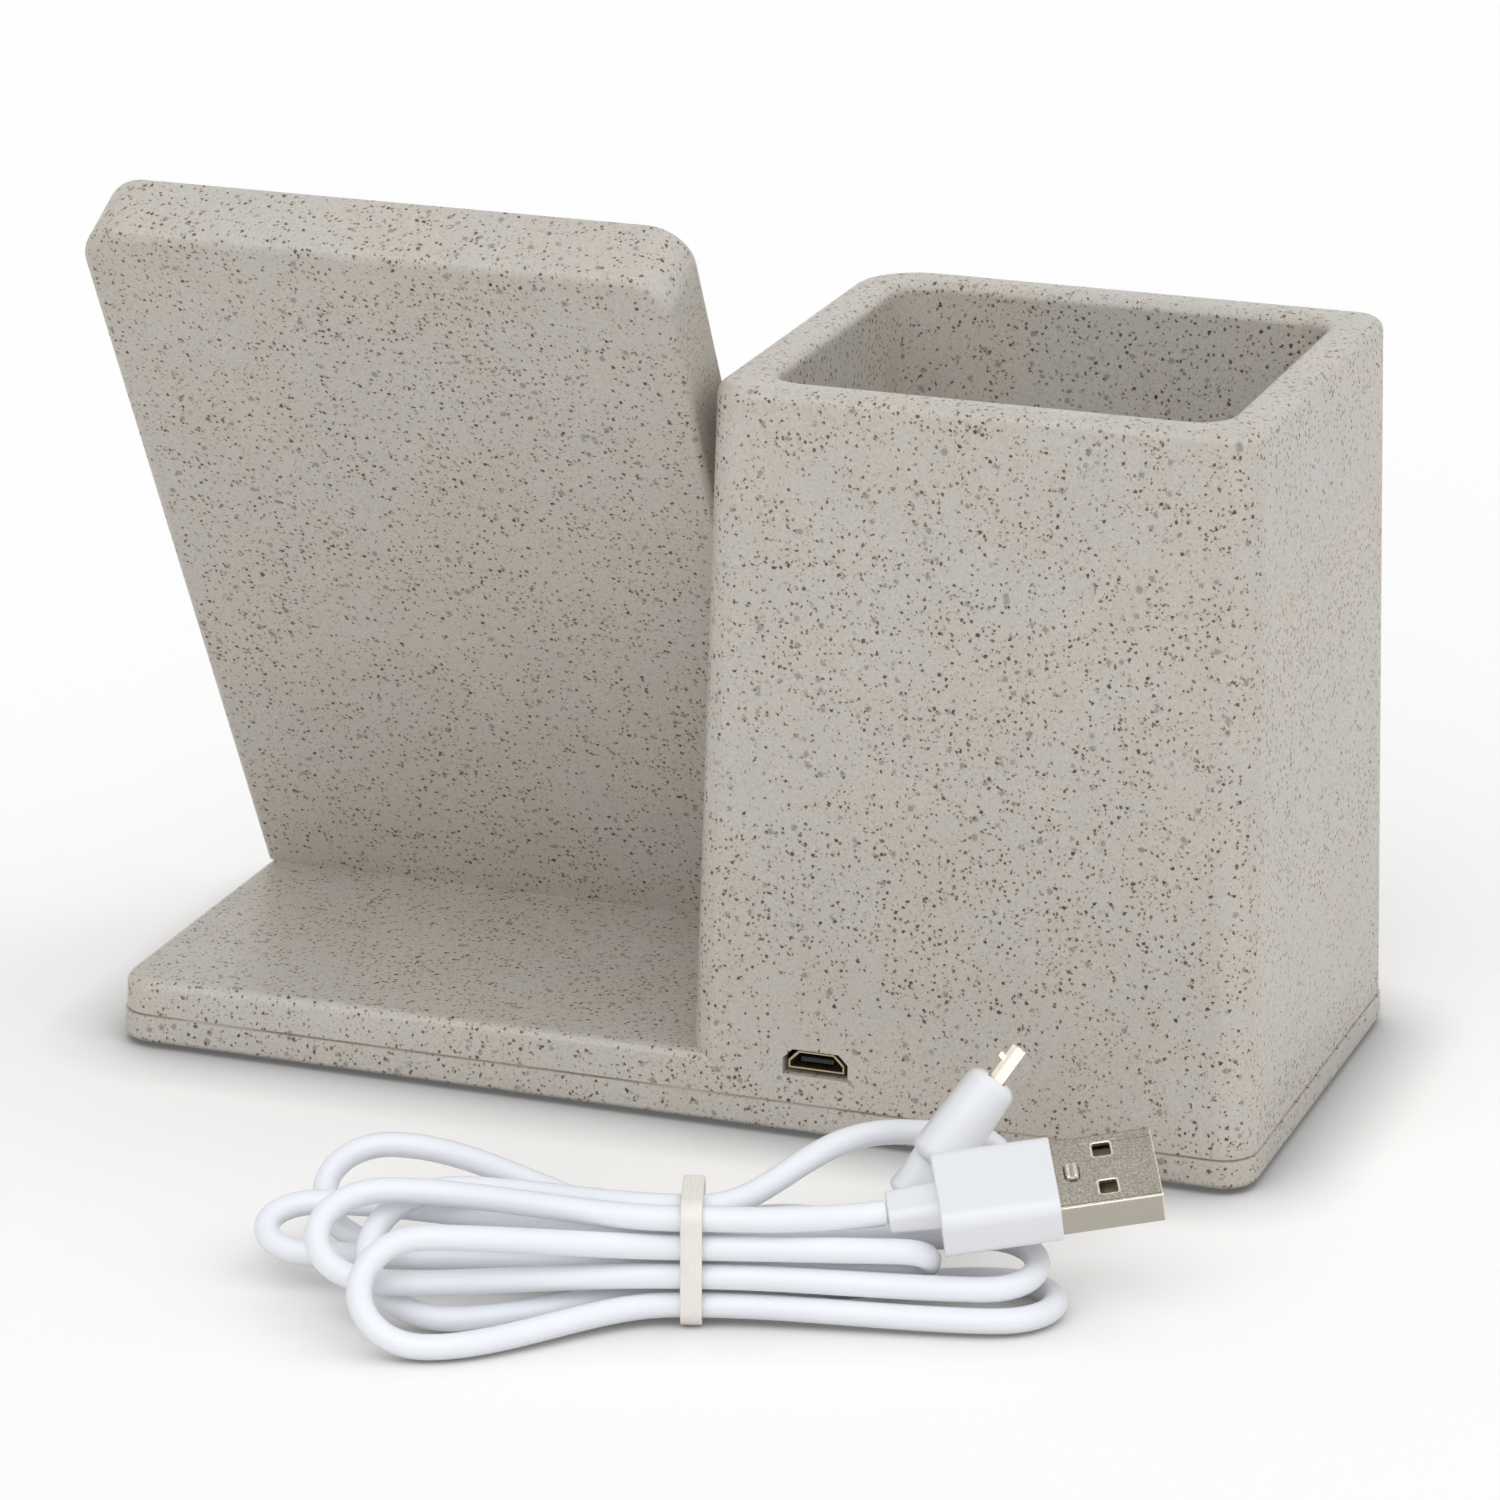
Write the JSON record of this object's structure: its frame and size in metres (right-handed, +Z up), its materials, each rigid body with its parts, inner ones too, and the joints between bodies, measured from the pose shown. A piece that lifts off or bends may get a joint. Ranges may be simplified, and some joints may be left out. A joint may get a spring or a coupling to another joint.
{
  "type": "wireless charger pen holder",
  "caption": "Desk caddy with a square pen cup beside a leaning wireless charging phone stand on one base, with its cable tied in a hank.",
  "frame": {"origin": "the middle of the caddy's own box, on the surface it stands on, without the loose cable", "axes": "+X along the base from the phone stand towards the pen cup, +Y from the socket side towards the side where the phone rests, +Z up"},
  "size_m": [0.1576, 0.1541, 0.1176],
  "materials": {
    "stone_plastic": "satin, with fine dark and rust-brown flecks",
    "foot_rubber": "matt",
    "screw_steel": "zinc plated",
    "shell_metal": "nickel plated",
    "copper_wire": "enamelled copper wire",
    "ferrite": "matt",
    "board": "green solder mask",
    "chip": "matt",
    "capacitor": "matt",
    "cable_jacket": "smooth white jacket",
    "plug_plastic": "smooth white overmould",
    "band_rubber": "off-white elastic"
  },
  "bodies": {
    "root": {"upper_housing": "stone_plastic", "bottom_cover": "stone_plastic", "rubber_foot_near_left": "foot_rubber", "rubber_foot_near_right": "foot_rubber", "rubber_foot_far_left": "foot_rubber", "rubber_foot_far_right": "foot_rubber", "cover_screw_near_left": "screw_steel", "cover_screw_near_right": "screw_steel", "cover_screw_far_left": "screw_steel", "cover_screw_far_right": "screw_steel", "phone_stand_rear_shell": "stone_plastic", "charging_panel": "stone_plastic", "charging_coil": "copper_wire", "ferrite_shield": "ferrite", "stand_screw_left": "screw_steel", "stand_screw_right": "screw_steel", "coil_lead_inner": "copper_wire", "coil_lead_outer": "copper_wire", "circuit_board": "board", "board_screw_left": "screw_steel", "board_screw_right": "screw_steel", "charging_socket_shell": "shell_metal", "charging_socket_tongue": "chip", "controller_chip": "chip", "coil_driver_chip": "chip", "power_inductor": "ferrite", "resonance_capacitor_1": "capacitor", "resonance_capacitor_2": "capacitor", "resonance_capacitor_3": "capacitor", "cable_hank": "cable_jacket", "cable_to_usb_a_plug": "cable_jacket", "cable_to_micro_usb_plug": "cable_jacket", "cable_band": "band_rubber", "usb_a_plug_body": "plug_plastic", "usb_a_plug_shell": "shell_metal", "usb_a_plug_tongue": "plug_plastic", "micro_usb_plug_body": "plug_plastic", "micro_usb_plug_shell": "shell_metal"}
  },
  "joints": []
}
